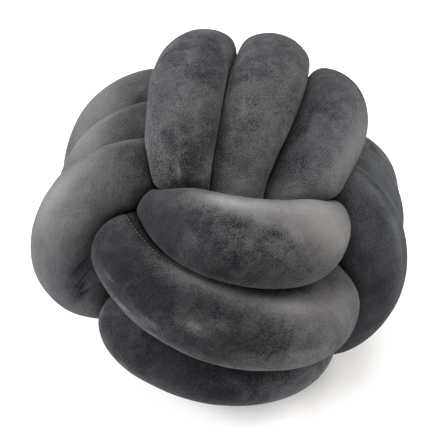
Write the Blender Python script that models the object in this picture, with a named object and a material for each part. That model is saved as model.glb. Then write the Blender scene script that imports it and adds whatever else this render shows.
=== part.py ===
"""Knotted ball cushion: one stuffed plush tube tied into a ball, three strands wide.

The tube is laid as a ball knot of three rings, and each ring goes round three times. The
belt runs over the front and the back, the hoop over the top and the base, and the side
ring over the right and the left. On every face three strands lie side by side. Their ends
dive under the strands of the next face, so each ring is held by another one. The two ends
of the tube meet inside the ball, where they can't be seen, and the tube is modelled closed.

Frame: metres, +Z up. The cushion lies on z = 0 with the middle of its outline over the
origin. The front strands face -Y.
"""

import math
from collections import namedtuple

import bmesh
import bpy
import numpy as np
from mathutils.bvhtree import BVHTree

MM = 0.001

# The ball as it lies on the floor, in degrees
BALL_YAW = 7.0
BALL_PITCH = -4.0
BALL_ROLL = 10.5
# How far the ball sinks into its flat spot, in millimetres
REST_SINK = 9.0

# The tube, in millimetres
INNER_RADIUS = 30.0        # where it is squeezed inside the ball
STRAND_GAP = 2.0           # left open between strands that press on each other
ARCH_FULLNESS = 2.6        # 2 gives round arches, more gives arches with squarer shoulders
ARCH_END_ANGLE = 62.0      # degrees from the middle of a strand to where it dives in
INNER_DEPTH = 78.0         # from the middle of the ball to a strand that passes inside
INNER_SPACING = 40.0       # between strands side by side inside
BEND_REACH = 62.0          # length of tube that counts as the same bend of itself
BEND_SLACK = 0.93          # share of the room that the tube takes up in its own bend
PRESS_SOFTNESS = 8.0       # low values round the edges of pressed flats, high ones sharpen them
SMALLEST_REACH = 1.0       # from the middle line to the plush, however hard it is pressed

# The tube's line
ARC_POINTS = 5             # route points on the arch of a strand
CUT_ARC_POINTS = 4         # the same where the arch is cut short at a corner of the ball
CORNER_EASE = 0.75         # 0.5 runs widely round close route points, 1 keeps near them
FIRST_ACROSS = (0.3, 0.5, 0.8)

# The mesh of the tube
RINGS_ALONG = 316
SIDES_ROUND = 18
ROUTE_STEPS = 40           # steps between two route points when the tube's line is measured
PRESS_STEPS = 3            # points of the line per ring that another strand can press on
DRAW_IN_STEP = 0.3         # millimetres a point goes in where faces still cut each other
DRAW_IN_ROUNDS = 60
TINY = 1e-6                # keeps divisions clear of zero

# Plush: colour as red, green and blue in linear light
PLUSH_COLOUR = (0.105, 0.11, 0.118)
PLUSH_ROUGHNESS = 0.9

# Directions of the ball: to its right, its top and its front
RIGHT, TOP, FRONT = 0, 1, 2

# A ring lies over two opposite faces: out is the direction of the faces, along the one in
# which its strands run, and side the one in which they lie next to each other.
Ring = namedtuple("Ring", "name plus_face minus_face out along side")
BELT = Ring("belt", "front", "back", FRONT, RIGHT, TOP)
HOOP = Ring("hoop", "top", "base", TOP, FRONT, RIGHT)
SIDE_RING = Ring("side ring", "right", "left", RIGHT, TOP, FRONT)
RINGS = (BELT, HOOP, SIDE_RING)

# One row for each strand on a face, in millimetres from the middle of the ball. Lane -1, 0
# and 1 lie next to each other in the ring's side direction. Height is how far out the middle
# of the strand is, and shift moves that middle along the strand. Side gives its sideways
# place at the end towards minus, in the middle and at the end towards plus, and reach how
# far those two ends are from the middle. Radius is half the width of the plump tube.
Strand = namedtuple(
    "Strand",
    "height shift side_minus side_middle side_plus reach_minus reach_plus radius",
)
STRANDS = {
    ("front", 1): Strand(140, -3, 45, 51, 42, 72, 70, 38),
    ("front", 0): Strand(150, -6, 15, -16, -26, 104, 94, 39),
    ("front", -1): Strand(124, 0, -60, -72, -68, 92, 84, 39),
    ("top", -1): Strand(132, 0, -10, -46, -58, 78, 84, 37),
    ("top", 0): Strand(133, 0, 45, 14, -14, 78, 78, 39),
    ("top", 1): Strand(109, 0, 68, 74, 44, 66, 78, 37),
    ("left", 1): Strand(133, -6, 38, 57, 59, 66, 74, 39),
    ("left", 0): Strand(114, 0, -2, 0, 5, 78, 84, 37),
    ("left", -1): Strand(106, 8, -50, -52, -45, 84, 90, 37),
    ("right", 1): Strand(124, -20, 30, 50, 42, 86, 76, 39),
    ("right", 0): Strand(133, -6, -8, -4, -5, 80, 70, 37),
    ("right", -1): Strand(138, -4, -50, -54, -36, 80, 62, 37),
    ("back", 1): Strand(116, 0, 40, 50, 26, 66, 74, 37),
    ("back", 0): Strand(128, 0, -6, -8, -14, 78, 78, 37),
    ("back", -1): Strand(118, 0, -50, -64, -50, 70, 78, 37),
    ("base", 1): Strand(118, 0, 50, 62, 50, 78, 78, 37),
    ("base", 0): Strand(126, 0, 6, 6, 6, 78, 78, 37),
    ("base", -1): Strand(121, -6, -40, -42, -38, 84, 76, 36),
}

# Where a strand inside the ball gives way to its neighbours: ring, end and lane, then the
# move to the right, up and to the front
GIVING_WAY = {
    ("belt", 1, 1): (0, -12, 0),
    ("belt", 1, 0): (0, -4, 0),
    ("belt", 1, -1): (-8, 0, 0),
    ("belt", -1, -0.5): (8, 12, 0),
    ("belt", -1, 0.5): (0, 12, 0),
    ("hoop", 1, 1): (-6, 0, -8),
    ("hoop", 1, -1): (4, 0, -8),
    ("hoop", -1, -0.5): (0, 0, 14),
    ("hoop", -1, 0.5): (-2, 4, 20),
    ("side ring", 1, -1): (0, -8, 6),
    ("side ring", -1, -0.5): (0, 8, -12),
    ("side ring", -1, 0.5): (0, 0, -15),
}

# Where the tube goes from the belt up to the hoop, from the hoop to the side ring, and from
# there through the middle of the ball back to its beginning
TO_HOOP = ((-38, 60, -108), (-42, 82, -90), (-33, 104, -66))
TO_SIDE_RING = ((66, -112, -48), (80, -98, -80), (102, -72, -86), (124, -42, -74))
BACK_TO_START = (
    (-20, -80, 42), (36, -52, 36), (40, 0, 5), (5, 15, -25), (-32, -22, -10), (-54, -48, 38),
)
LINKS = {"belt": TO_HOOP, "hoop": TO_SIDE_RING, "side ring": BACK_TO_START}
# Angles along their arches at which strands leave for those turns and come out of them
RING_EXIT = {"belt": 12.0, "hoop": 8.0}
RING_ENTRY = {"belt": -50.0, "hoop": -28.0, "side ring": -8.0}


def arch_point(ring, sign, lane, angle):
    """Middle of the tube, and its radius, at an angle along the arch of a strand."""
    strand = STRANDS[(ring.plus_face if sign > 0 else ring.minus_face, lane)]
    rise = math.cos(math.radians(angle))
    run = math.sin(math.radians(angle))
    power = 2.0 / ARCH_FULLNESS
    reach = strand.reach_plus if run > 0 else strand.reach_minus
    along = math.copysign(abs(run) ** power, run) * reach + strand.shift * rise ** 2
    part = run / math.sin(math.radians(ARCH_END_ANGLE))
    slope = (strand.side_plus - strand.side_minus) / 2
    bow = (strand.side_plus + strand.side_minus) / 2 - strand.side_middle
    place = [0.0, 0.0, 0.0]
    place[ring.out] = sign * strand.height * rise ** power
    place[ring.along] = along
    place[ring.side] = strand.side_middle + slope * part + bow * part ** 2
    radius = strand.radius * rise ** 2 + INNER_RADIUS * run ** 2
    return place + [radius]


def strand_points(ring, sign, lane, first=-ARCH_END_ANGLE, last=ARCH_END_ANGLE, count=ARC_POINTS):
    """Points over one face. The strands of a minus face run the other way."""
    angles = np.linspace(first, last, count)
    return [arch_point(ring, sign, lane, sign * angle) for angle in angles]


def inner_point(ring, end, lane):
    """Middle of the tube where it passes under the strands of the next face."""
    place = [0.0, 0.0, 0.0]
    place[ring.along] = end * INNER_DEPTH
    place[ring.side] = lane * INNER_SPACING
    move = GIVING_WAY.get((ring.name, end, lane), (0, 0, 0))
    return [a + b for a, b in zip(place, move)] + [INNER_RADIUS]


def tube_route():
    """Route points of the whole tube, three times round each ring."""
    points = []
    for ring in RINGS:
        for lane in (-1, 0, 1):
            # The belt begins in the middle of the ball, where the side ring ends. The other
            # turns from ring to ring are made round corners of the ball.
            if lane > -1:
                points += strand_points(ring, 1, lane)
            elif ring is BELT:
                points += strand_points(ring, 1, lane, RING_ENTRY[ring.name])
            else:
                points += strand_points(
                    ring, 1, lane, RING_ENTRY[ring.name], count=CUT_ARC_POINTS,
                )
            points.append(inner_point(ring, 1, lane))
            if lane < 1 or ring is SIDE_RING:
                points += strand_points(ring, -1, lane)
            else:
                points += strand_points(
                    ring, -1, lane, last=RING_EXIT[ring.name], count=CUT_ARC_POINTS,
                )
            # The tube changes to the next lane where it passes inside
            if lane < 1:
                points.append(inner_point(ring, -1, lane + 0.5))
        points += [list(place) + [INNER_RADIUS] for place in LINKS[ring.name]]
    return np.array(points, dtype=float)


def smooth_closed_line(points, steps):
    """Cubic spline through the points, closed on itself."""
    count = len(points)
    span = np.linalg.norm(np.roll(points, -1, 0) - points, axis=1) ** CORNER_EASE
    matrix = np.zeros((count, count))
    change = np.zeros_like(points)
    for i in range(count):
        following = (i + 1) % count
        matrix[i, i - 1] += span[i - 1]
        matrix[i, i] += 2 * (span[i - 1] + span[i])
        matrix[i, following] += span[i]
        ahead = (points[following] - points[i]) / span[i]
        behind = (points[i] - points[i - 1]) / span[i - 1]
        change[i] = 6 * (ahead - behind)
    curve = np.linalg.solve(matrix, change)
    line = []
    for i in range(count):
        following = (i + 1) % count
        right = np.linspace(0, span[i], steps, endpoint=False)[:, None]
        left = span[i] - right
        bent = (curve[i] * left ** 3 + curve[following] * right ** 3) / (6 * span[i])
        from_here = (points[i] / span[i] - curve[i] * span[i] / 6) * left
        to_next = (points[following] / span[i] - curve[following] * span[i] / 6) * right
        line.append(bent + from_here + to_next)
    return np.concatenate(line)


def even_line(count):
    """The tube's middle line and radius at even steps, and the length of the line."""
    line = smooth_closed_line(tube_route(), ROUTE_STEPS)
    closed = np.vstack([line, line[:1]])
    step = np.linalg.norm(np.diff(closed[:, :3], axis=0), axis=1)
    travelled = np.concatenate([[0.0], np.cumsum(step)])
    wanted = np.linspace(0, travelled[-1], count, endpoint=False)
    even = np.column_stack([np.interp(wanted, travelled, closed[:, k]) for k in range(4)])
    return even[:, :3], even[:, 3], travelled[-1]


def section_directions(middles):
    """Two directions across the tube at each ring, carried along it without twisting.

    What is left over when the tube comes round is spread evenly, so that it closes.
    """
    count = len(middles)
    forward = np.roll(middles, -1, 0) - np.roll(middles, 1, 0)
    forward /= np.linalg.norm(forward, axis=1)[:, None]
    across = np.zeros_like(middles)
    across[0] = np.cross(forward[0], FIRST_ACROSS)
    across[0] /= np.linalg.norm(across[0])
    for i in range(1, count):
        carried = across[i - 1] - forward[i] * (across[i - 1] @ forward[i])
        across[i] = carried / np.linalg.norm(carried)
    last = across[-1] - forward[0] * (across[-1] @ forward[0])
    last /= np.linalg.norm(last)
    left_over = math.atan2(np.cross(across[0], last) @ forward[0], across[0] @ last)
    turn = (-left_over * np.arange(count) / count)[:, None]
    across = across * np.cos(turn) + np.cross(forward, across) * np.sin(turn)
    return across, np.cross(across, forward)


def pressed_sections():
    """Ring middles, the rays round each ring, and how far the tube reaches along each ray.

    A point goes out to the tube's radius, but no further than halfway to any other strand,
    so strands that push on each other meet in a flat, as the real stuffing does.
    """
    middles, radii, length = even_line(RINGS_ALONG)
    others, other_radii, _ = even_line(RINGS_ALONG * PRESS_STEPS)
    other_places = np.arange(len(others)) * length / len(others)
    across, up = section_directions(middles)
    turns = np.linspace(0, 2 * math.pi, SIDES_ROUND, endpoint=False)[:, None]
    rays = np.zeros((RINGS_ALONG, SIDES_ROUND, 3))
    reach = np.zeros((RINGS_ALONG, SIDES_ROUND))
    for i in range(RINGS_ALONG):
        rays[i] = across[i] * np.cos(turns) + up[i] * np.sin(turns)
        offset = others - middles[i]
        distance_squared = (offset ** 2).sum(axis=1)
        towards = rays[i] @ offset.T
        apart = np.abs(other_places - i * length / RINGS_ALONG)
        apart = np.minimum(apart, length - apart)
        own_bend = apart < BEND_REACH
        itself = apart < length / len(others) / 2
        # Halfway to another strand, moved towards the thinner of the two and less the gap
        thicker = other_radii - radii[i] + STRAND_GAP
        facing = towards + thicker
        halfway = (distance_squared - thicker ** 2) / (2 * np.maximum(facing, TINY))
        room = np.where(~own_bend & (facing > TINY), halfway, np.inf)
        # Inside its own bend the tube stops short of the middle of the bend
        inside = BEND_SLACK * distance_squared / (2 * np.maximum(towards, TINY))
        room = np.minimum(room, np.where(own_bend & ~itself & (towards > TINY), inside, np.inf))
        nearest = np.maximum(room.min(axis=1), SMALLEST_REACH)
        eased = radii[i] ** -PRESS_SOFTNESS + nearest ** -PRESS_SOFTNESS
        reach[i] = eased ** (-1 / PRESS_SOFTNESS)
    return middles, rays, reach


def drawn_apart(middles, rays, reach):
    """Points of the tube, drawn in wherever its flat faces would still cut each other."""
    ring = np.arange(RINGS_ALONG)[:, None] * SIDES_ROUND
    ahead = np.roll(ring, -1, 0)
    side = np.arange(SIDES_ROUND)[None]
    next_side = np.roll(side, -1, 1)
    quads = np.stack([ring + side, ahead + side, ahead + next_side, ring + next_side], axis=-1)
    quads = quads.reshape(-1, 4)
    # Each face is tried with both of its diagonals
    corners = ((0, 1, 2), (0, 2, 3), (0, 1, 3), (1, 2, 3))
    triangles = np.concatenate([quads[:, corner] for corner in corners])
    for _ in range(DRAW_IN_ROUNDS):
        points = middles[:, None] + rays * reach[..., None]
        tree = BVHTree.FromPolygons(points.reshape(-1, 3).tolist(), triangles.tolist())
        pairs = tree.overlap(tree)
        if not pairs:
            break
        first, second = (triangles[list(half)] for half in zip(*pairs))
        touching = (first[:, :, None] == second[:, None, :]).any(axis=(1, 2))
        crossing = np.unique(first[~touching])
        reach.reshape(-1)[crossing] -= DRAW_IN_STEP
    return points


def turned_about(axis, degrees):
    """Rotation matrix about one of the world's axes."""
    cosine = math.cos(math.radians(degrees))
    sine = math.sin(math.radians(degrees))
    matrix = np.eye(3)
    first, second = (axis + 1) % 3, (axis + 2) % 3
    matrix[first, first] = matrix[second, second] = cosine
    matrix[first, second] = -sine
    matrix[second, first] = sine
    return matrix


def laid_on_floor(points):
    """Turns the ball to how it lies, rests it on z = 0 and gives it its flat spot."""
    ball_axes = np.array([(1.0, 0.0, 0.0), (0.0, 0.0, 1.0), (0.0, -1.0, 0.0)]).T
    turn = turned_about(2, BALL_YAW) @ turned_about(0, BALL_PITCH) @ turned_about(1, BALL_ROLL)
    laid = points @ (turn @ ball_axes).T
    low = laid.reshape(-1, 3).min(axis=0)
    high = laid.reshape(-1, 3).max(axis=0)
    laid -= ((low[0] + high[0]) / 2, (low[1] + high[1]) / 2, low[2] + REST_SINK)
    laid[..., 2] = np.maximum(laid[..., 2], 0.0)
    return laid * MM


def plush_material():
    """Dark grey short-pile plush."""
    material = bpy.data.materials.new("grey_plush")
    material.use_nodes = True
    shader = material.node_tree.nodes["Principled BSDF"]
    shader.inputs["Base Color"].default_value = (*PLUSH_COLOUR, 1.0)
    shader.inputs["Roughness"].default_value = PLUSH_ROUGHNESS
    shader.inputs["Metallic"].default_value = 0.0
    return material


for old in list(bpy.data.objects):
    bpy.data.objects.remove(old, do_unlink=True)

cushion = bpy.data.collections.new("knotted_ball_cushion")
bpy.context.scene.collection.children.link(cushion)

# The sections all differ, so the tube is lofted from ring to ring and closed on itself
loft = bmesh.new()
places = laid_on_floor(drawn_apart(*pressed_sections()))
rings = [[loft.verts.new(place) for place in ring] for ring in places]
for here, ahead in zip(rings, rings[1:] + rings[:1]):
    for side in range(SIDES_ROUND):
        next_side = (side + 1) % SIDES_ROUND
        loft.faces.new((here[side], ahead[side], ahead[next_side], here[next_side]))
mesh = bpy.data.meshes.new("knotted_tube")
loft.to_mesh(mesh)
loft.free()
mesh.materials.append(plush_material())
mesh.shade_smooth()
cushion.objects.link(bpy.data.objects.new("knotted_tube", mesh))
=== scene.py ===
import math
from collections import namedtuple

import bmesh
import bpy
import numpy as np
from mathutils import Matrix, Vector, noise


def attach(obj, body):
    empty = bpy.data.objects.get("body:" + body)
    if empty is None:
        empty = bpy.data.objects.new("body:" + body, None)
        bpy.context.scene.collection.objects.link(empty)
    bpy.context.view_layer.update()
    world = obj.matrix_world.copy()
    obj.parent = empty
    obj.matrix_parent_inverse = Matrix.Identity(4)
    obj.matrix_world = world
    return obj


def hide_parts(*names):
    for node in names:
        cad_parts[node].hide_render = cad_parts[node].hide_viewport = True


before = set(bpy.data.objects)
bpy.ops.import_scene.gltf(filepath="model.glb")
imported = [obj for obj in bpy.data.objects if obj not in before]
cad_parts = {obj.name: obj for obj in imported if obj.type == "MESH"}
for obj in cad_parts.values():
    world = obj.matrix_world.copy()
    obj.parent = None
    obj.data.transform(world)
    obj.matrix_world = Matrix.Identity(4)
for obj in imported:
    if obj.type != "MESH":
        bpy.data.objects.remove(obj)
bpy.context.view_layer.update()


# The stuffed tube's lie. A long tube of plush, filled with loose fibre, is tied into a ball as
# three rings that each go round three times. The line of its middle follows the solid model's
# route, strand by strand. Lengths are in millimetres from the middle of the ball.

INNER_RADIUS = 30.0        # where the tube is squeezed inside the ball
ARCH_FULLNESS = 2.6        # 2 gives round arches, more gives arches with squarer shoulders
ARCH_END_ANGLE = 62.0      # degrees from the middle of a strand to where it dives in
INNER_DEPTH = 78.0         # from the middle of the ball to the strands inside
INNER_SPACING = 40.0       # between those strands
ARC_POINTS = 5
CUT_ARC_POINTS = 4         # on arches that are cut short at a corner of the ball
CORNER_EASE = 0.75         # 1 spaces the line by the distances between points, 0 evenly
ROUTE_STEPS = 40           # short steps from each point of the route to the next

RIGHT, TOP, FRONT = 0, 1, 2
Ring = namedtuple("Ring", "name plus_face minus_face out along side")
BELT = Ring("belt", "front", "back", FRONT, RIGHT, TOP)
HOOP = Ring("hoop", "top", "base", TOP, FRONT, RIGHT)
SIDE_RING = Ring("side ring", "right", "left", RIGHT, TOP, FRONT)

# A strand's crown stands out to its height and is moved along by its shift. Three measures say
# how far to the side it lies at its minus end, its middle and its plus end, and two how far it
# reaches along the face to those ends. Last is the tube's radius at the crown.
Strand = namedtuple(
    "Strand",
    "height shift side_minus side_middle side_plus reach_minus reach_plus radius",
)
STRANDS = {
    ("front", 1): Strand(140, -3, 45, 51, 42, 72, 70, 38),
    ("front", 0): Strand(150, -6, 15, -16, -26, 104, 94, 39),
    ("front", -1): Strand(124, 0, -60, -72, -68, 92, 84, 39),
    ("top", -1): Strand(132, 0, -10, -46, -58, 78, 84, 37),
    ("top", 0): Strand(133, 0, 45, 14, -14, 78, 78, 39),
    ("top", 1): Strand(109, 0, 68, 74, 44, 66, 78, 37),
    ("left", 1): Strand(133, -6, 38, 57, 59, 66, 74, 39),
    ("left", 0): Strand(114, 0, -2, 0, 5, 78, 84, 37),
    ("left", -1): Strand(106, 8, -50, -52, -45, 84, 90, 37),
    ("right", 1): Strand(124, -20, 30, 50, 42, 86, 76, 39),
    ("right", 0): Strand(133, -6, -8, -4, -5, 80, 70, 37),
    ("right", -1): Strand(138, -4, -50, -54, -36, 80, 62, 37),
    ("back", 1): Strand(116, 0, 40, 50, 26, 66, 74, 37),
    ("back", 0): Strand(128, 0, -6, -8, -14, 78, 78, 37),
    ("back", -1): Strand(118, 0, -50, -64, -50, 70, 78, 37),
    ("base", 1): Strand(118, 0, 50, 62, 50, 78, 78, 37),
    ("base", 0): Strand(126, 0, 6, 6, 6, 78, 78, 37),
    ("base", -1): Strand(121, -6, -40, -42, -38, 84, 76, 36),
}
# Where a strand inside gives way: ring, end and lane, then the move right, up and forward
GIVING_WAY = {
    ("belt", 1, 1): (0, -12, 0),
    ("belt", 1, 0): (0, -4, 0),
    ("belt", 1, -1): (-8, 0, 0),
    ("belt", -1, -0.5): (8, 12, 0),
    ("belt", -1, 0.5): (0, 12, 0),
    ("hoop", 1, 1): (-6, 0, -8),
    ("hoop", 1, -1): (4, 0, -8),
    ("hoop", -1, -0.5): (0, 0, 14),
    ("hoop", -1, 0.5): (-2, 4, 20),
    ("side ring", 1, -1): (0, -8, 6),
    ("side ring", -1, -0.5): (0, 8, -12),
    ("side ring", -1, 0.5): (0, 0, -15),
}
# The turns from one ring to the next, as places right of, above and in front of the middle
TO_HOOP = ((-38, 60, -108), (-42, 82, -90), (-33, 104, -66))
TO_SIDE_RING = ((66, -112, -48), (80, -98, -80), (102, -72, -86), (124, -42, -74))
BACK_TO_START = (
    (-20, -80, 42), (36, -52, 36), (40, 0, 5), (5, 15, -25), (-32, -22, -10), (-54, -48, 38),
)
LINKS = {"belt": TO_HOOP, "hoop": TO_SIDE_RING, "side ring": BACK_TO_START}
# Where the tube leaves the last arch of a ring and joins its first, in degrees from the crown
RING_EXIT = {"belt": 12.0, "hoop": 8.0}
RING_ENTRY = {"belt": -50.0, "hoop": -28.0, "side ring": -8.0}


def arch_point(ring, sign, lane, angle):
    """Middle of the tube, and its radius, at an angle along the arch of a strand."""
    strand = STRANDS[(ring.plus_face if sign > 0 else ring.minus_face, lane)]
    rise = math.cos(math.radians(angle))
    run = math.sin(math.radians(angle))
    power = 2.0 / ARCH_FULLNESS
    reach = strand.reach_plus if run > 0 else strand.reach_minus
    part = run / math.sin(math.radians(ARCH_END_ANGLE))
    slope = (strand.side_plus - strand.side_minus) / 2
    bow = (strand.side_plus + strand.side_minus) / 2 - strand.side_middle
    place = [0.0, 0.0, 0.0]
    place[ring.out] = sign * strand.height * rise ** power
    place[ring.along] = math.copysign(abs(run) ** power, run) * reach + strand.shift * rise ** 2
    place[ring.side] = strand.side_middle + slope * part + bow * part ** 2
    return place + [strand.radius * rise ** 2 + INNER_RADIUS * run ** 2]


def strand_points(ring, sign, lane, first=-ARCH_END_ANGLE, last=ARCH_END_ANGLE, count=ARC_POINTS):
    """Points along the arch of a strand, in the order that the tube runs."""
    angles = np.linspace(first, last, count)
    return [arch_point(ring, sign, lane, sign * angle) for angle in angles]


def inner_point(ring, end, lane):
    """Middle of the tube where it passes under the strands of the next face."""
    place = [0.0, 0.0, 0.0]
    place[ring.along] = end * INNER_DEPTH
    place[ring.side] = lane * INNER_SPACING
    move = GIVING_WAY.get((ring.name, end, lane), (0, 0, 0))
    return [a + b for a, b in zip(place, move)] + [INNER_RADIUS]


def tube_route():
    """All the points that the tube goes through, from the start of the belt back to it."""
    points = []
    for ring in (BELT, HOOP, SIDE_RING):
        for lane in (-1, 0, 1):
            if lane > -1:
                points += strand_points(ring, 1, lane)
            else:
                count = ARC_POINTS if ring is BELT else CUT_ARC_POINTS
                points += strand_points(ring, 1, lane, RING_ENTRY[ring.name], count=count)
            points.append(inner_point(ring, 1, lane))
            if lane < 1 or ring is SIDE_RING:
                points += strand_points(ring, -1, lane)
            else:
                points += strand_points(
                    ring, -1, lane, last=RING_EXIT[ring.name], count=CUT_ARC_POINTS,
                )
            if lane < 1:
                points.append(inner_point(ring, -1, lane + 0.5))
        points += [list(place) + [INNER_RADIUS] for place in LINKS[ring.name]]
    return np.array(points, dtype=float)


def smooth_closed_line(points, steps):
    """Cubic spline through the points, closed on itself."""
    count = len(points)
    span = np.linalg.norm(np.roll(points, -1, 0) - points, axis=1) ** CORNER_EASE
    matrix = np.zeros((count, count))
    change = np.zeros_like(points)
    for i in range(count):
        following = (i + 1) % count
        matrix[i, i - 1] += span[i - 1]
        matrix[i, i] += 2 * (span[i - 1] + span[i])
        matrix[i, following] += span[i]
        ahead = (points[following] - points[i]) / span[i]
        behind = (points[i] - points[i - 1]) / span[i - 1]
        change[i] = 6 * (ahead - behind)
    curve = np.linalg.solve(matrix, change)
    line = []
    for i in range(count):
        following = (i + 1) % count
        right = np.linspace(0, span[i], steps, endpoint=False)[:, None]
        left = span[i] - right
        bent = (curve[i] * left ** 3 + curve[following] * right ** 3) / (6 * span[i])
        from_here = (points[i] / span[i] - curve[i] * span[i] / 6) * left
        to_next = (points[following] / span[i] - curve[following] * span[i] / 6) * right
        line.append(bent + from_here + to_next)
    return np.concatenate(line)


route = smooth_closed_line(tube_route(), ROUTE_STEPS)
closed_route = np.vstack([route, route[:1]])
route_step = np.linalg.norm(np.diff(closed_route[:, :3], axis=0), axis=1)
route_length = np.concatenate([[0.0], np.cumsum(route_step)])
TUBE_LENGTH = route_length[-1]


def line_at(places):
    """The tube's middle and radius at places along it."""
    return np.column_stack([np.interp(places, route_length, closed_route[:, k]) for k in range(4)])


# The stuffed tube's skin of plush. It is round where it lies free, and where strands push on
# each other they meet in a flat halfway. One seam runs lengthwise and turns with the tube, so
# the first side of every ring lies on it.

RING_COUNT = 1420
HIDDEN_WITHIN = 96.0       # a middle line this near the middle of the ball can't be seen
HIDDEN_EASE = 14.0         # over which the rings grow sparse
HIDDEN_DENSITY = 0.42      # rings there, as a share of those on a plain strand
PLACING_STEPS = 4000       # short steps of the whole tube that the rings are spaced by
BEND_STEPS = 8             # of these on each side, over which the tube's bend is measured
PLAIN_BEND = 0.008         # in 1/mm, the sharpest bend that needs no more rings
BEND_DENSITY = 60.0        # times the rings of a plain strand, added for each 1/mm past it
DENSITY_EASE = 30          # steps on each side over which the rings' spacing is evened out
FIRST_ACROSS = (0.3, 0.5, 0.8)  # any direction that isn't along the tube's start
SEAM_SIDES = (0.0, 1.5, 3.2, 6.0, 10.0)
FIRST_PLAIN_SIDE = 15.5    # degrees from the seam
PLAIN_SIDES = 28           # on each half of the ring, past the seam's own
OTHERS = 948               # points of the line that can press on a strand
STRAND_GAP = 0.5           # between two strands that press on each other
BEND_REACH = 62.0          # along the tube, within which it presses on itself only in a bend
BEND_SLACK = 0.93          # how near to the middle of a bend the skin may come
PRESS_SOFTNESS = 9.0       # more gives flats with sharper edges
SMALLEST_REACH = 1.0       # of the skin from the tube's middle line
TINY = 1e-6                # keeps a division from being by zero
SEAM_EASE = 14             # rings on each side over which the seam's turn is evened out
EVENING_ROUNDS = 3

# Where the seam lies on the rings. It faces the middle of the ball, so the knot hides it,
# but on the middle strand of the front it comes out along the upper edge, because the tube
# twisted when it was tied. Millimetres along the tube, and degrees away from the ball's middle.
SEAM_LEANS = (
    (560, 0), (650, 92), (700, 113), (740, 110), (756, 107), (770, 103), (790, 100), (816, 96),
    (840, 89), (860, 66), (930, 0),
)


def ring_places():
    """Places along the tube for the rings, closer together where it bends and shows."""
    steps = np.linspace(0, TUBE_LENGTH, PLACING_STEPS, endpoint=False)
    middles = line_at(steps)[:, :3]
    step = TUBE_LENGTH / len(steps)
    bend = np.roll(middles, -BEND_STEPS, 0) + np.roll(middles, BEND_STEPS, 0) - 2 * middles
    bend = np.linalg.norm(bend, axis=1) / (BEND_STEPS * step) ** 2
    from_middle = np.linalg.norm(middles, axis=1)
    shows = np.clip((from_middle - HIDDEN_WITHIN) / HIDDEN_EASE + 0.5, 0, 1)
    more = BEND_DENSITY * np.maximum(bend - PLAIN_BEND, 0)
    density = HIDDEN_DENSITY + shows * (1 - HIDDEN_DENSITY + more)
    kernel = np.hanning(2 * DENSITY_EASE + 1)
    margin = 2 * DENSITY_EASE
    padded = np.concatenate([density[-margin:], density, density[:margin]])
    density = np.convolve(padded, kernel / kernel.sum(), "same")[margin:-margin]
    total = np.concatenate([[0.0], np.cumsum(density)])
    wanted = np.linspace(0, total[-1], RING_COUNT, endpoint=False)
    return np.interp(wanted, total, np.arange(len(total)) * step)


def section_directions(middles):
    """Two directions across the tube at each ring, carried along it without twisting."""
    count = len(middles)
    forward = np.roll(middles, -1, 0) - np.roll(middles, 1, 0)
    forward /= np.linalg.norm(forward, axis=1)[:, None]
    across = np.zeros_like(middles)
    across[0] = np.cross(forward[0], FIRST_ACROSS)
    across[0] /= np.linalg.norm(across[0])
    for i in range(1, count):
        carried = across[i - 1] - forward[i] * (across[i - 1] @ forward[i])
        across[i] = carried / np.linalg.norm(carried)
    last = across[-1] - forward[0] * (across[-1] @ forward[0])
    last /= np.linalg.norm(last)
    left_over = math.atan2(np.cross(across[0], last) @ forward[0], across[0] @ last)
    turn = (-left_over * np.arange(count) / count)[:, None]
    across = across * np.cos(turn) + np.cross(forward, across) * np.sin(turn)
    return across, np.cross(across, forward)


places = ring_places()
middles = line_at(places)[:, :3]
radii = line_at(places)[:, 3]
across, up = section_directions(middles)

plain_sides = np.linspace(FIRST_PLAIN_SIDE, 180.0, PLAIN_SIDES, endpoint=False)
sides = np.radians(np.concatenate([
    SEAM_SIDES, plain_sides, [180.0], 360.0 - plain_sides[::-1],
    360.0 - np.array(SEAM_SIDES[:0:-1]),
]))
SIDE_COUNT = len(sides)


def seam_angles():
    """Angle of the seam on each ring."""
    inward = -middles / np.linalg.norm(middles, axis=1)[:, None]
    facing = np.arctan2((inward * up).sum(axis=1), (inward * across).sum(axis=1))
    lean_at, lean = zip(*SEAM_LEANS)
    facing = np.unwrap(facing) - np.radians(np.interp(places, lean_at, lean))
    # The cloth turns slowly along the tube, so quick changes are spread out
    closing = facing[-1] + np.angle(np.exp(1j * (facing[0] - facing[-1]))) - facing[0]
    drift = np.arange(RING_COUNT) * closing / RING_COUNT
    level = facing - drift
    kernel = np.hanning(2 * SEAM_EASE + 1)
    kernel /= kernel.sum()
    level = np.concatenate([level[-SEAM_EASE:], level, level[:SEAM_EASE]])
    return np.convolve(level, kernel, "valid") + drift


def skin_reach(rays):
    """How far the tube reaches along each ray before it meets another strand or itself."""
    other_places = np.arange(OTHERS) * TUBE_LENGTH / OTHERS
    others = line_at(other_places)
    reach = np.zeros(rays.shape[:2])
    for i in range(RING_COUNT):
        offset = others[:, :3] - middles[i]
        distance_squared = (offset ** 2).sum(axis=1)
        towards = rays[i] @ offset.T
        apart = np.abs(other_places - places[i])
        apart = np.minimum(apart, TUBE_LENGTH - apart)
        own_bend = apart < BEND_REACH
        itself = apart < TUBE_LENGTH / OTHERS
        thicker = others[:, 3] - radii[i] + STRAND_GAP
        facing = towards + thicker
        halfway = (distance_squared - thicker ** 2) / (2 * np.maximum(facing, TINY))
        room = np.where(~own_bend & (facing > TINY), halfway, np.inf)
        inside = BEND_SLACK * distance_squared / (2 * np.maximum(towards, TINY))
        room = np.minimum(room, np.where(own_bend & ~itself & (towards > TINY), inside, np.inf))
        nearest = np.maximum(room.min(axis=1), SMALLEST_REACH)
        eased = radii[i] ** -PRESS_SOFTNESS + nearest ** -PRESS_SOFTNESS
        reach[i] = eased ** (-1 / PRESS_SOFTNESS)
    return reach


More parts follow.
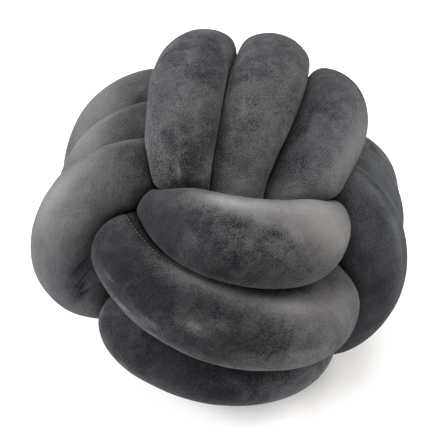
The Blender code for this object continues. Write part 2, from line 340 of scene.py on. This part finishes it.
seam = seam_angles()
turns = seam[:, None] + sides
rays = across[:, None] * np.cos(turns)[..., None] + up[:, None] * np.sin(turns)[..., None]
reach = skin_reach(rays)
for _ in range(EVENING_ROUNDS):
    along = (np.roll(reach, 1, 0) + np.roll(reach, -1, 0)) / 2
    around = (np.roll(reach, 1, 1) + np.roll(reach, -1, 1)) / 2
    reach = np.minimum(reach, reach / 2 + (along + around) / 4)


# Relief of the skin. The filling is uneven by about a millimetre, out and in. The plush is
# drawn in where the inside of a bend is crumpled into creases, where it puckers beside a
# pressed edge, and in a narrow groove at the seam.

LUMP_SIZE = 62.0
LUMP_DEPTH = 2.0
SMALL_LUMP_SIZE = 23.0
SMALL_LUMP_DEPTH = 0.7
SMALL_LUMP_MOVE = 300.0    # takes the small lumps from another part of the noise
LUMPS_END = 0.05           # share of its radius that a strand is pressed in where lumps end
BEND_SPAN = 14.0           # on each side, over which the plush's own bend is measured
CREASE_STEP = 12.0         # usual distance between two creases
CREASE_DEPTH = 3.4
CREASE_SPREAD = 0.7        # the shallowest crease is this share of the depth shallower
CREASE_SEED = 5
# Share of its length that the plush loses in a bend where creases begin, and where they are full
CREASE_BEND = (0.42, 0.8)
PUCKER_STEP = 10.0
PUCKER_DEPTH = 0.8
PUCKER_SPREAD = 0.6
PUCKER_SEED = 9
# Share of its radius that a strand is pressed in, where puckers grow and where they fade
PUCKERS_BEGIN = (0.01, 0.06)
PUCKERS_END = (0.12, 0.25)
PUCKER_PATCH = 40.0        # size of the patches that pucker
PUCKER_NOISE = (0.5, 0.7)  # where a patch begins to pucker, and where it does fully
PUCKER_MOVE = 700.0        # takes the patches from another part of the noise
# Of a crease, in steps: how far it is moved along the tube, how far it wanders on its way round,
# how wide it is, and how far from it the plush is level again
UNEVEN_STEP = 0.35
UNEVEN_LEAN = 0.5
CREASE_WIDTHS = (0.2, 0.32)
CREASE_REACH = 2.5
SEAM_DEPTH = 1.7
SEAM_WIDTH = 1.5
RUN_ON_DEGREES = 10.0      # round the tube, that the run-on of a wrinkle is given for

# Wrinkles where the plush is pushed together at a bend, strand by strand, as: millimetres along
# from its middle, degrees round from its crown, millimetres that the wrinkle runs on along the
# tube in ten degrees, its reach round in degrees, width and depth
WRINKLES = {
    ("left", 1): (
        (1, 95, 8.5, 11, 4.4, 4.0),
        (-13, 95, 9.0, 11, 3.2, 3.4),
        (-22, 94, 8.5, 11, 3.2, 3.4),
        (-29, 94, 4.0, 10, 3.4, 2.6),
    ),
    ("top", -1): (
        (84, -70, 1.5, 9, 2.6, 1.2),
        (91, -74, 1.5, 10, 2.6, 1.6),
        (98, -78, 1.0, 10, 2.6, 1.4),
        (105, -82, 1.0, 10, 2.8, 1.2),
    ),
    ("right", 1): (
        (94, 84, 1.0, 10, 2.8, 1.6),
        (86, 78, 1.5, 12, 2.8, 1.4),
        (77, 72, 1.5, 10, 3.0, 1.0),
    ),
    ("front", 0): (
        (30, 96, 1.5, 10, 2.8, 1.4),
        (40, 98, 1.0, 12, 2.8, 1.6),
        (52, 96, -1.0, 10, 3.0, 1.2),
    ),
}


def smooth_step(low, high, value):
    """0 below low, 1 above high and smooth in between."""
    part = np.clip((value - low) / (high - low), 0, 1)
    return part * part * (3 - 2 * part)


def unevenness(points, size):
    """Smooth noise from 0 to 1 at each point."""
    scaled = points.reshape(-1, 3) / size
    values = [noise.noise(Vector(place)) for place in scaled]
    return np.array(values).reshape(points.shape[:-1]) * 0.5 + 0.5


def creases(step, seed, depth_spread):
    """Grooves across the tube at uneven steps, as a depth from 0 to 1 at each ring and side."""
    rng = np.random.default_rng(seed)
    count = int(TUBE_LENGTH / step)
    at = (np.arange(count) + rng.uniform(-UNEVEN_STEP, UNEVEN_STEP, count)) * step
    depth = rng.uniform(1 - depth_spread, 1, count)
    lean = rng.uniform(-UNEVEN_LEAN, UNEVEN_LEAN, count) * step
    wave = rng.uniform(0, 2 * math.pi, count)
    width = rng.uniform(*CREASE_WIDTHS, count) * step
    field = np.zeros(reach.shape)
    for k in range(count):
        near = np.where(np.abs(places - at[k]) < CREASE_REACH * step)[0]
        if len(near):
            line = at[k] + lean[k] * np.sin(sides + wave[k])
            away = (places[near, None] - line[None]) / width[k]
            field[near] = np.maximum(field[near], depth[k] * np.exp(-away ** 2))
    return field


def strand_coordinates(face, lane):
    """Millimetres along from the strand's middle, and degrees round from its crown."""
    ring = next(
        ring for ring in (BELT, HOOP, SIDE_RING) if face in (ring.plus_face, ring.minus_face)
    )
    sign = 1 if face == ring.plus_face else -1
    crown = np.array(arch_point(ring, sign, lane, 0)[:3])
    middle_place = route_length[np.argmin(np.linalg.norm(route[:, :3] - crown, axis=1))]
    round_from_crown = np.arctan2(rays[..., ring.side], sign * rays[..., ring.out])
    return sign * (places - middle_place), np.degrees(round_from_crown)


def wrinkles():
    """How far the listed wrinkles draw the skin in."""
    depths = np.zeros(reach.shape)
    for (face, lane), lines in WRINKLES.items():
        along, round_from_crown = strand_coordinates(face, lane)
        for at, round_at, run_on, spread, width, depth in lines:
            turned = (round_from_crown - round_at + 180) % 360 - 180
            away = (along[:, None] - at - run_on * turned / RUN_ON_DEGREES) / width
            depths += depth * np.exp(-away ** 2) * np.exp(-(turned / spread) ** 2)
    return depths


points = middles[:, None] + rays * reach[..., None]
behind = line_at((places - BEND_SPAN) % TUBE_LENGTH)[:, :3]
ahead = line_at((places + BEND_SPAN) % TUBE_LENGTH)[:, :3]
bend = (ahead + behind - 2 * middles) / BEND_SPAN ** 2
shortening = (bend[:, None] * rays).sum(axis=2) * reach
pressed = 1 - reach / radii[:, None]

free = 1 - smooth_step(0.0, LUMPS_END, pressed)
lumps = free * LUMP_DEPTH * (unevenness(points, LUMP_SIZE) - 0.5)
lumps += free * SMALL_LUMP_DEPTH * (unevenness(points + SMALL_LUMP_MOVE, SMALL_LUMP_SIZE) - 0.5)
bent_in = smooth_step(*CREASE_BEND, shortening)
crumpled = CREASE_DEPTH * bent_in * creases(CREASE_STEP, CREASE_SEED, CREASE_SPREAD)
edge = smooth_step(*PUCKERS_BEGIN, pressed) * (1 - smooth_step(*PUCKERS_END, pressed))
patchy = smooth_step(*PUCKER_NOISE, unevenness(points + PUCKER_MOVE, PUCKER_PATCH))
puckers = PUCKER_DEPTH * edge * patchy * creases(PUCKER_STEP, PUCKER_SEED, PUCKER_SPREAD)
from_seam = np.minimum(sides, 2 * math.pi - sides)[None] * reach
groove = SEAM_DEPTH * np.exp(-(from_seam / SEAM_WIDTH) ** 2)
wrinkled = wrinkles()
reach = np.maximum(reach - lumps - crumpled - puckers - wrinkled - groove, SMALLEST_REACH)
points = middles[:, None] + rays * reach[..., None]


# The ball is turned to how it lies, pressed flat where it touches the floor, and put where the
# solid one is. Then the skin's mesh is made, ring by ring.

MM = 0.001
BALL_YAW = 7.0
BALL_PITCH = -4.0
BALL_ROLL = 10.5
BALL_MIDDLE = np.array((-2.1, 13.8, 155.5))
UV_RADIUS = 38.0           # the UV map is as wide as a tube of this radius is round


def turned_about(axis, degrees):
    """Rotation matrix about one of the world's axes."""
    cosine = math.cos(math.radians(degrees))
    sine = math.sin(math.radians(degrees))
    matrix = np.eye(3)
    first, second = (axis + 1) % 3, (axis + 2) % 3
    matrix[first, first] = matrix[second, second] = cosine
    matrix[first, second] = -sine
    matrix[second, first] = sine
    return matrix


# Right, up and forward on the ball, as directions of the room
ball_axes = np.array([(1.0, 0.0, 0.0), (0.0, 0.0, 1.0), (0.0, -1.0, 0.0)]).T
turn = turned_about(2, BALL_YAW) @ turned_about(0, BALL_PITCH) @ turned_about(1, BALL_ROLL)
laid = points @ (turn @ ball_axes).T + BALL_MIDDLE
laid[..., 2] = np.maximum(laid[..., 2], 0.0)
laid *= MM

loft = bmesh.new()
uv_layer = loft.loops.layers.uv.new("along_and_round")
rings = [[loft.verts.new(place) for place in ring] for ring in laid]
along_uv = np.append(places, TUBE_LENGTH) * MM
around_uv = np.append(sides, 2 * math.pi) * UV_RADIUS * MM
for i in range(RING_COUNT):
    here, ahead = rings[i], rings[(i + 1) % RING_COUNT]
    for side in range(SIDE_COUNT):
        following = (side + 1) % SIDE_COUNT
        face = loft.faces.new((here[side], ahead[side], ahead[following], here[following]))
        face.smooth = True
        corners = ((i, side), (i + 1, side), (i + 1, side + 1), (i, side + 1))
        for loop, (ring_number, side_number) in zip(face.loops, corners):
            loop[uv_layer].uv = (along_uv[ring_number], around_uv[side_number])
mesh = bpy.data.meshes.new("plush_tube")
loft.to_mesh(mesh)
loft.free()
tube = bpy.data.objects.new("plush_tube", mesh)
bpy.context.scene.collection.objects.link(tube)


# How the pile of the plush lies, with painted light and shade. Hands have brushed it this way
# and that, so it is mottled, and patches painted lighter stand for highlights where light falls
# on a strand, and patches painted darker for shade on undersides and beside creases. Each patch is
# painted on the skin with a soft edge.

NAP_LEVEL = 0.26           # how light the pile looks between the patches
FOLD_SHADE = 0.22          # stops of painted shade for each millimetre of a wrinkle's depth

# The patches of each strand, brushed pile with painted highlights and shade, as: millimetres
# along from its middle, degrees round from its crown, length, width in degrees, and stops lighter
NAP_AND_PAINTED_LIGHT_PATCHES = {
    ("front", 1): (
        (-74, 25, 45, 76, -3.4),
        (-36, 85, 32, 18, 0.9),
        (6, -14, 26, 13, -0.8),
        (-14, -16, 50, 34, -1.7),
        (54, 45, 42, 55, 1.4),
        (22, 88, 60, 22, 1.0),
        (-25, 82, 26, 22, 0.8),
        (-13, 50, 9, 5, -1.1),
        (-2, 38, 8, 5, -0.9),
        (7, 44, 7, 5, -0.9),
        (26, 30, 14, 10, -0.5),
    ),
    ("front", 0): (
        (-104, 25, 50, 66, -3.8),
        (-18, -20, 26, 20, -0.6),
        (-35, 10, 48, 45, -1.7),
        (-34, 8, 11, 9, 2.7),
        (-18, 20, 7, 7, 1.7),
        (-20, -30, 45, 15, -0.8),
        (-38, 37, 24, 9, -0.7),
        (-92, -3, 9, 7, 2.9),
        (-74, -37, 12, 7, 2.4),
        (-55, -20, 12, 10, 2.6),
        (-104, 44, 10, 8, 1.2),
        (-66, 46, 16, 9, 0.7),
        (-2, 22, 20, 40, -1.2),
        (56, 25, 45, 55, 0.7),
        (-62, 63, 36, 13, 2.1),
        (-28, 63, 40, 13, 1.2),
        (24, 56, 30, 12, 0.8),
        (40, 64, 26, 12, 0.5),
        (100, 62, 30, 26, 0.5),
        (33, 12, 16, 15, -1.2),
        (10, -10, 10, 9, 0.4),
    ),
    ("front", -1): (
        (-20, 0, 100, 100, -0.35),
        (-60, 10, 60, 70, -2.4),
        (-10, 5, 34, 60, -1.3),
        (-62, 20, 26, 13, -0.6),
        (0, 0, 28, 9, 0.7),
        (45, 0, 30, 50, 0.4),
    ),
    ("left", 1): (
        (45, 24, 30, 42, 1.0),
        (20, 15, 40, 18, 0.4),
        (82, 64, 34, 60, -1.1),
        (88, 12, 13, 18, -0.8),
        (-3, 92, 24, 24, -0.9),
        (-48, 92, 16, 24, 0.6),
    ),
    ("left", 0): (
        (52, 0, 22, 60, 0.9),
        (80, 30, 18, 60, -1.2),
        (70, -5, 10, 14, 0.6),
    ),
    ("left", -1): (
        (53, 15, 25, 60, 0.7),
        (78, 50, 14, 40, -0.8),
    ),
    ("right", 1): (
        (30, 60, 110, 90, -0.3),
        (-5, 85, 80, 45, -1.3),
        (46, 43, 40, 9, 0.9),
        (76, 22, 22, 12, -0.8),
        (22, 50, 22, 24, 0.5),
    ),
    ("top", -1): (
        (45, 0, 90, 100, -0.85),
        (60, -55, 40, 22, -0.4),
        (62, 8, 12, 12, 0.5),
        (97, -36, 12, 13, 1.5),
        (84, -40, 8, 11, -0.9),
        (6, 30, 9, 9, 0.9),
        (80, -5, 12, 12, -0.4),
        (30, 58, 14, 12, 1.9),
        (33, -6, 9, 9, 0.6),
        (92, 66, 14, 14, 1.0),
    ),
    ("top", 0): (
        (30, -25, 60, 25, -0.4),
        (20, 32, 26, 14, 0.4),
        (84, -18, 14, 38, -0.9),
        (58, -48, 10, 10, 0.9),
        (70, 12, 10, 10, 0.3),
        (106, 10, 12, 70, 0.9),
    ),
    ("top", 1): (
        (10, -10, 30, 60, -0.6),
        (55, -5, 40, 40, -0.5),
        (44, 58, 44, 34, 1.2),
        (101, -15, 14, 80, 1.2),
        (36, 12, 12, 12, 0.7),
    ),
}

# Where the plush is finely rumpled, given the same way, with how much last
RUMPLED = {
    ("top", -1): ((92, -66, 14, 16, 3.0), (60, -62, 20, 8, 1.0)),
    ("right", 1): ((86, 82, 14, 14, 0.8),),
    ("front", 0): ((40, 84, 30, 8, 0.6), (-60, 84, 60, 7, 0.5)),
    ("left", 1): ((-10, 88, 26, 20, 0.6),),
}

# Where the plush is brushed smooth, given the same way, so it is hardly mottled there
SMOOTH = {
    ("left", 1): ((15, 50, 90, 90, 1.0),),
    ("left", 0): ((60, 0, 60, 90, 1.0),),
    ("left", -1): ((60, 0, 60, 90, 1.0),),
    ("right", 1): ((30, 70, 110, 60, 0.7),),
    ("right", 0): ((50, 60, 90, 60, 0.7),),
    ("front", 1): ((60, 60, 40, 50, 0.6), (-66, 40, 26, 60, 1.2)),
    ("front", 0): ((-100, 15, 26, 60, 0.9),),
}

# Painted tint of the light: where the plush is tinted warmer (1) as under warm light, or cooler
# (-1) as under cool light, given the same way
PAINTED_LIGHT_WARMTH = {
    ("top", -1): ((0, 0, 50, 90, -0.8),),
    ("top", 0): ((0, 0, 45, 90, -0.5),),
    ("top", 1): ((40, 0, 70, 90, -0.7),),
    ("left", 1): ((50, 20, 45, 60, 0.4), (-20, 92, 40, 40, -0.8)),
    ("front", 1): ((50, 40, 60, 80, 0.7),),
    ("front", 0): ((60, 50, 50, 60, 0.4),),
    ("front", -1): ((0, 0, 120, 120, -1.0),),
    ("right", 1): ((30, 60, 130, 110, -1.0),),
    ("right", 0): ((30, 60, 130, 110, -1.0),),
}


def painted(table):
    """Sum of the soft-edged patches at each point of the skin."""
    total = np.zeros(reach.shape)
    for (face, lane), patches in table.items():
        along, round_from_crown = strand_coordinates(face, lane)
        for patch_along, patch_round, length, width, amount in patches:
            away = ((along - patch_along) / length) ** 2
            turned = (round_from_crown - patch_round + 180) % 360 - 180
            total += amount * np.exp(-away)[:, None] * np.exp(-(turned / width) ** 2)
    return total


# Folds at the inner bend of the left strand in front, bumps with a painted highlight on each ridge
# and painted shade in each valley, as: millimetres along the strand and degrees round it where the
# ridge lies, millimetres that the ridge runs on along the strand in ten degrees, its reach round
# in degrees, and millimetres of shaded valley below the ridge
FOLDS = (
    (5, 95, 8.5, 10, 6.0),
    (-10, 96, 9.0, 10, 4.0),
    (-18.5, 94, 9.0, 9, 4.0),
    (-25, 96, 4.0, 10, 5.0),
)
along_left, round_left = strand_coordinates("left", 1)

# The pile's lightness: brushed mottling with painted highlights and painted shade from the
# patches, and painted shade in the wrinkles' creases
pile_and_painted_light = {
    "tone_and_painted_light": NAP_LEVEL * 2 ** (painted(NAP_AND_PAINTED_LIGHT_PATCHES) - FOLD_SHADE * wrinkled),
    "rumpled": painted(RUMPLED),
    "smooth": painted(SMOOTH),
    "painted_light_warmth": painted(PAINTED_LIGHT_WARMTH),
    "fold_along": along_left[:, None] + np.zeros(reach.shape),
    "fold_round": round_left,
}
for name, values in pile_and_painted_light.items():
    attribute = mesh.attributes.new(name, "FLOAT", "POINT")
    attribute.data.foreach_set("value", values.ravel().astype(np.float32))


# The plush: dark grey, dense and short, brushed by hands this way and that, so it is mottled
# light and dark, and painted highlights and painted shade are mixed into its colour. Seen along
# the surface its pile catches the light.

# The pile's colour runs between these, by its mottling and by its painted light and shade
DARK_PILE = (0.0046, 0.0042, 0.0061, 1.0)
LIGHT_PILE = (0.17, 0.165, 0.168, 1.0)
# Painted tints of cool and warm light
PAINTED_COOL_LIGHT = (0.9, 1.0, 1.04, 1.0)
PAINTED_WARM_LIGHT = (1.06, 1.0, 0.94, 1.0)
MOST_SMOOTH = 1.2          # painted smoothness past this changes nothing more
SMOOTHING = 0.6            # how much of its mottling the smooth plush loses
FOLD_EDGE = (-0.9, 0.5)    # millimetres from a fold's ridge where its valley is full and ends
RIDGE_MIDDLE = 0.9         # millimetres past the fold's line
RIDGE_SHARPNESS = 0.9      # more gives a narrower ridge
RIDGE_HIGHLIGHT_STOPS = 0.9          # painted highlight on a ridge, in stops lighter
VALLEY_SHADE_STOPS = 1.5         # painted shade in a valley, in stops darker
BRUSHED_SHARE = 0.6        # of the broad brush marks in the mottling
STROKES_SHARE = 0.45       # of the finer strokes
FROST_BELOW = 0.22         # darker pile than this has light tips here and there
FROST = 0.4                # how light those tips are
SPECKS = 0.06              # of the grain, seen in the darkest pile too
SEAM_LINE = (0.4, 1.6)     # millimetres from the seam where its shade begins to end and ends
SEAM_SHADE = 0.25          # share of its lightness that the pile keeps in the groove
# Heights of the pile, in millimetres
BRUSHED_HEIGHT = 2.2
STROKES_HEIGHT = 0.9
RUMPLES_HEIGHT = 6.0
RIDGE_HEIGHT = 0.8
VALLEY_DEPTH = 1.4
GRAIN_HEIGHT = 0.6


class Value:
    """A shader socket that Python's own signs for sums build Math nodes on."""

    def __init__(self, tree, socket):
        self.tree = tree
        self.socket = socket

    @staticmethod
    def node(tree, kind, settings=None, **inputs):
        """A node of any type, its settings first, then values or links for its sockets."""
        made = tree.nodes.new(kind)
        for name, value in (settings or {}).items():
            setattr(made, name, value)
        for name, value in inputs.items():
            numbered = name[1:].isdigit()
            socket = made.inputs[int(name[1:]) if numbered else name.replace("_", " ")]
            if isinstance(value, Value):
                tree.links.new(value.socket, socket)
            elif isinstance(value, bpy.types.NodeSocket):
                tree.links.new(value, socket)
            else:
                socket.default_value = value
        return made

    def maths(self, operation, first, second=0.0):
        """One Math node."""
        made = Value.node(
            self.tree, "ShaderNodeMath", {"operation": operation}, i0=first, i1=second,
        )
        return Value(self.tree, made.outputs[0])

    def __add__(self, other):
        return self.maths("ADD", self, other)

    __radd__ = __add__

    def __sub__(self, other):
        return self.maths("SUBTRACT", self, other)

    def __rsub__(self, other):
        return self.maths("SUBTRACT", other, self)

    def __mul__(self, other):
        return self.maths("MULTIPLY", self, other)

    __rmul__ = __mul__

    def at_least(self, other):
        return self.maths("MAXIMUM", self, other)

    def at_most(self, other):
        return self.maths("MINIMUM", self, other)

    def hump(self):
        """1 at zero, falling off on both sides like a bell."""
        return self.maths("EXPONENT", self * self * -1.0)

    def stops(self):
        """How much more light it is, where 1 doubles it."""
        return self.maths("POWER", 2.0, self)

    def between(self, low, high):
        """0 below low, 1 above high and smooth in between."""
        made = Value.node(
            self.tree, "ShaderNodeMapRange", {"interpolation_type": "SMOOTHSTEP"},
            Value=self, From_Min=low, From_Max=high,
        )
        return Value(self.tree, made.outputs[0])


def mixed(tree, factor, first, second, blend="MIX"):
    """Socket of the colour that two colours give."""
    made = Value.node(
        tree, "ShaderNodeMix", {"data_type": "RGBA", "blend_type": blend},
        Factor=factor, i6=first, i7=second,
    )
    return made.outputs[2]


def set_finish(shader, finish):
    """The settings that are the same all over a piece."""
    for name, value in finish.items():
        shader.inputs[name].default_value = value


plush = bpy.data.materials.new("grey_plush")
plush.use_nodes = True
tree = plush.node_tree
shader = tree.nodes["Principled BSDF"]
spot = Value.node(tree, "ShaderNodeTexCoord").outputs["Object"]


def cloudy(scale, detail, roughness, distortion=0.0):
    """Noise in the room's three directions, from 0 to 1."""
    made = Value.node(
        tree, "ShaderNodeTexNoise", {"noise_dimensions": "3D"}, Vector=spot,
        Scale=scale, Detail=detail, Roughness=roughness, Distortion=distortion,
    )
    return Value(tree, made.outputs["Fac"])


brushed = cloudy(scale=30.0, detail=1.5, roughness=0.5, distortion=0.5).between(0.36, 0.64)
strokes = cloudy(scale=85.0, detail=3.0, roughness=0.6, distortion=0.8).between(0.4, 0.62)
grain = cloudy(scale=950.0, detail=0.0, roughness=0.5)
laid_nap_and_painted_light, rumpled, smooth, painted_light_warmth, fold_along, fold_round = (
    Value(tree, Value.node(tree, "ShaderNodeAttribute", {"attribute_name": name}).outputs["Fac"])
    for name in pile_and_painted_light
)
rough = 1.0 - smooth.at_most(MOST_SMOOTH) * SMOOTHING

shaded_valleys, lit_ridges = 0.0, 0.0
for at, round_at, run_on, spread, valley in FOLDS:
    turned = fold_round - round_at
    above_ridge = fold_along - turned * (run_on / RUN_ON_DEGREES) - at
    within = (turned * (1 / spread)).hump()
    below_ridge = 1.0 - above_ridge.between(*FOLD_EDGE)
    shaded_valleys = below_ridge * (above_ridge * (1 / valley)).hump() * within + shaded_valleys
    lit_ridges = ((above_ridge - RIDGE_MIDDLE) * RIDGE_SHARPNESS).hump() * within + lit_ridges
# Painted highlight along each fold's ridge and painted shade in its valley
laid_nap_and_painted_light = laid_nap_and_painted_light * (lit_ridges * RIDGE_HIGHLIGHT_STOPS - shaded_valleys * VALLEY_SHADE_STOPS).stops()


def less_where_light(most, loss, least):
    """A strength that falls off as the pile looks lighter."""
    return (most - laid_nap_and_painted_light * loss).at_least(least)


mottling = (brushed - 0.5) * BRUSHED_SHARE + (strokes - 0.5) * STROKES_SHARE
mottle_strength = less_where_light(most=1.4, loss=2.4, least=0.2)
grain_strength = less_where_light(most=2.6, loss=4.4, least=0.5)

on_skin = Value.node(tree, "ShaderNodeUVMap", {"uv_map": "along_and_round"}).outputs[0]
parts = Value.node(tree, "ShaderNodeSeparateXYZ", Vector=on_skin)
round_tube = Value(tree, parts.outputs["Y"])
from_seam_line = round_tube.at_most(UV_RADIUS * MM * 2 * math.pi - round_tube)
off_seam = from_seam_line.between(SEAM_LINE[0] * MM, SEAM_LINE[1] * MM)

tips = cloudy(scale=50.0, detail=3.0, roughness=0.6, distortion=0.6).between(0.5, 0.75)
frosted = tips * (FROST_BELOW - laid_nap_and_painted_light).at_least(0.0) * FROST * rough
speckled = mottling * mottle_strength + (grain - 0.5) * grain_strength
speckled = laid_nap_and_painted_light * (speckled * rough + 1.0) + (grain - 0.5) * SPECKS
# The pile's tone with its painted light and shade, and painted shade in the seam's groove
tone_and_painted_light = (speckled + frosted) * (off_seam * (1 - SEAM_SHADE) + SEAM_SHADE)
colour = mixed(tree, tone_and_painted_light, DARK_PILE, LIGHT_PILE)
# Painted warm and cool tints of the light, laid over the plush's grey
tint = mixed(tree, (painted_light_warmth * 0.5 + 0.5).at_least(0.0).at_most(1.0), PAINTED_COOL_LIGHT, PAINTED_WARM_LIGHT)
tree.links.new(mixed(tree, 1.0, colour, tint, "MULTIPLY"), shader.inputs["Base Color"])
set_finish(shader, {
    "Roughness": 0.95,
    "Specular IOR Level": 0.08,
    "Sheen Weight": 0.055,
    "Sheen Roughness": 0.4,
    "Sheen Tint": (0.8, 0.82, 0.86, 1.0),
})

rumples = cloudy(scale=190.0, detail=1.0, roughness=0.5, distortion=1.2) * rumpled
lean = brushed * (BRUSHED_HEIGHT * MM) + strokes * (STROKES_HEIGHT * MM)
lean = lean + rumples * (RUMPLES_HEIGHT * MM)
lean = lean + lit_ridges * (RIDGE_HEIGHT * MM) - shaded_valleys * (VALLEY_DEPTH * MM)
soft = Value.node(tree, "ShaderNodeBump", Strength=0.35, Distance=1.0, Height=lean)
pile = Value.node(
    tree, "ShaderNodeBump", Strength=0.5, Distance=1.0, Height=grain * (GRAIN_HEIGHT * MM),
    Normal=soft.outputs[0],
)
tree.links.new(pile.outputs[0], shader.inputs["Normal"])
mesh.materials.append(plush)

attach(tube, "root")
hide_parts("knotted_tube")


# The stitches of the seam, where it shows: short lengths of grey thread, 2 mm long every 3 mm,
# that lie half sunk in the plush beside the groove. One is modelled, and the rest are copies of
# it, laid along the seam.

STITCH_PITCH = 3.0
STITCH_SIZE = (2.1, 0.9, 0.8)
STITCHES_FROM = 676.0      # along the tube
STITCHES_TO = 862.0
BESIDE_GROOVE = -2         # the side of the rings that the stitches lie on, 2 mm from the seam
AIM_REACH = 1.0            # each way along that side, to find which way a stitch points
DARK_THREAD = (0.035, 0.034, 0.036, 1.0)
LIGHT_THREAD = (0.13, 0.127, 0.128, 1.0)

thread_line = laid[:, BESIDE_GROOVE] / MM


def laid_stitch(at):
    """Matrix that sizes a stitch and lays it on the thread's line."""
    start, end = (
        Vector([np.interp(place, places, thread_line[:, k]) for k in range(3)])
        for place in (at - AIM_REACH, at + AIM_REACH)
    )
    turned = (end - start).to_track_quat("X", "Z").to_matrix().to_4x4()
    sized = Matrix.Diagonal((*STITCH_SIZE, 1.0))
    return Matrix.Scale(MM, 4) @ Matrix.Translation((start + end) / 2) @ turned @ sized


bpy.ops.object.select_all(action="DESELECT")
bpy.ops.mesh.primitive_uv_sphere_add(segments=8, ring_count=5, radius=0.5, calc_uvs=False)
seam_stitches = bpy.context.object
bpy.ops.object.shade_smooth()
stitch_places = np.arange(STITCHES_FROM, STITCHES_TO, STITCH_PITCH)
for at in stitch_places[1:]:
    stitch = seam_stitches.copy()
    stitch.data = seam_stitches.data.copy()
    stitch.data.transform(laid_stitch(at))
    bpy.context.scene.collection.objects.link(stitch)
    stitch.select_set(True)
seam_stitches.data.transform(laid_stitch(stitch_places[0]))
bpy.ops.object.join()
seam_stitches.name = seam_stitches.data.name = "seam_stitches"

thread = bpy.data.materials.new("grey_thread")
thread.use_nodes = True
tree = thread.node_tree
shader = tree.nodes["Principled BSDF"]
spot = Value.node(tree, "ShaderNodeTexCoord").outputs["Object"]
twist = cloudy(scale=900.0, detail=1.0, roughness=0.5)
tree.links.new(mixed(tree, twist, DARK_THREAD, LIGHT_THREAD), shader.inputs["Base Color"])
set_finish(shader, {"Roughness": 0.7})
seam_stitches.data.materials.append(thread)

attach(seam_stitches, "root")


# The floor: plain, matt and nearly white, and so wide that its edges are out of the picture.

FLOOR_SIDE = 12.0
FLOOR_WHITE = (0.86, 0.86, 0.86, 1.0)

bpy.ops.object.select_all(action="DESELECT")
bpy.ops.mesh.primitive_plane_add(size=FLOOR_SIDE, location=(0, 0, 0))
floor = bpy.context.object
floor.name = "floor"
white = bpy.data.materials.new("white_floor")
white.use_nodes = True
set_finish(white.node_tree.nodes["Principled BSDF"], {
    "Base Color": FLOOR_WHITE, "Roughness": 1.0, "Specular IOR Level": 0.0,
})
floor.data.materials.append(white)


# The light: a large soft window on the left, weaker soft lights overhead, high in front and high
# on the right, and pale walls all round.

LIT_SPOT = (0.0, 0.0, 0.15)  # all lights are turned to it
# Name, place, side (metres), power (watts) and colour
LIGHTS = (
    ("window", (-2.0, -0.3, 1.1), 1.4, 114.0, (0.98, 0.99, 1.0)),
    ("overhead", (0.0, -0.2, 2.2), 1.4, 42.0, (0.95, 0.98, 1.0)),
    ("front_high", (0.2, -1.6, 1.9), 1.2, 20.0, (1.0, 0.97, 0.94)),
    ("right_high", (1.6, -0.3, 1.7), 1.2, 42.0, (1.0, 0.95, 0.91)),
)
WALL_COLOUR = (0.93, 0.97, 1.0, 1.0)
WALL_BRIGHTNESS = 0.34

for name, place, side, power, colour in LIGHTS:
    light_data = bpy.data.lights.new(name, "AREA")
    light_data.shape = "SQUARE"
    light_data.size = side
    light_data.energy = power
    light_data.color = colour
    light = bpy.data.objects.new(name, light_data)
    bpy.context.scene.collection.objects.link(light)
    light.location = place
    light.rotation_euler = (Vector(LIT_SPOT) - Vector(place)).to_track_quat("-Z", "Y").to_euler()

world = bpy.data.worlds.new("room")
world.use_nodes = True
set_finish(world.node_tree.nodes["Background"], {
    "Color": WALL_COLOUR, "Strength": WALL_BRIGHTNESS,
})
bpy.context.scene.world = world
bpy.context.scene.view_settings.view_transform = "Standard"


# The camera looks down on the ball from the front, as in the photograph, and keeps the ball's
# middle on the same pixel of the picture.

CAMERA_ELEVATION = 33.0    # degrees
CAMERA_DISTANCE = 1.4      # metres
PICTURE_SIDE = 430
PIXELS_PER_MM = 1.11
MIDDLE_PIXEL = (222, 216)  # where the ball's middle shows
SENSOR = 36.0              # millimetres

aim = Vector(BALL_MIDDLE * MM)
elevation = math.radians(CAMERA_ELEVATION)
away = Vector((0, -math.cos(elevation), math.sin(elevation)))
camera_data = bpy.data.cameras.new("camera")
camera_data.sensor_width = SENSOR
camera_data.lens = SENSOR * CAMERA_DISTANCE / MM / (PICTURE_SIDE / PIXELS_PER_MM)
camera_data.shift_x = (PICTURE_SIDE / 2 - MIDDLE_PIXEL[0]) / PICTURE_SIDE
camera_data.shift_y = (MIDDLE_PIXEL[1] - PICTURE_SIDE / 2) / PICTURE_SIDE
camera = bpy.data.objects.new("camera", camera_data)
bpy.context.scene.collection.objects.link(camera)
camera.location = aim + away * CAMERA_DISTANCE
camera.rotation_euler = (-away).to_track_quat("-Z", "Y").to_euler()
bpy.context.scene.camera = camera
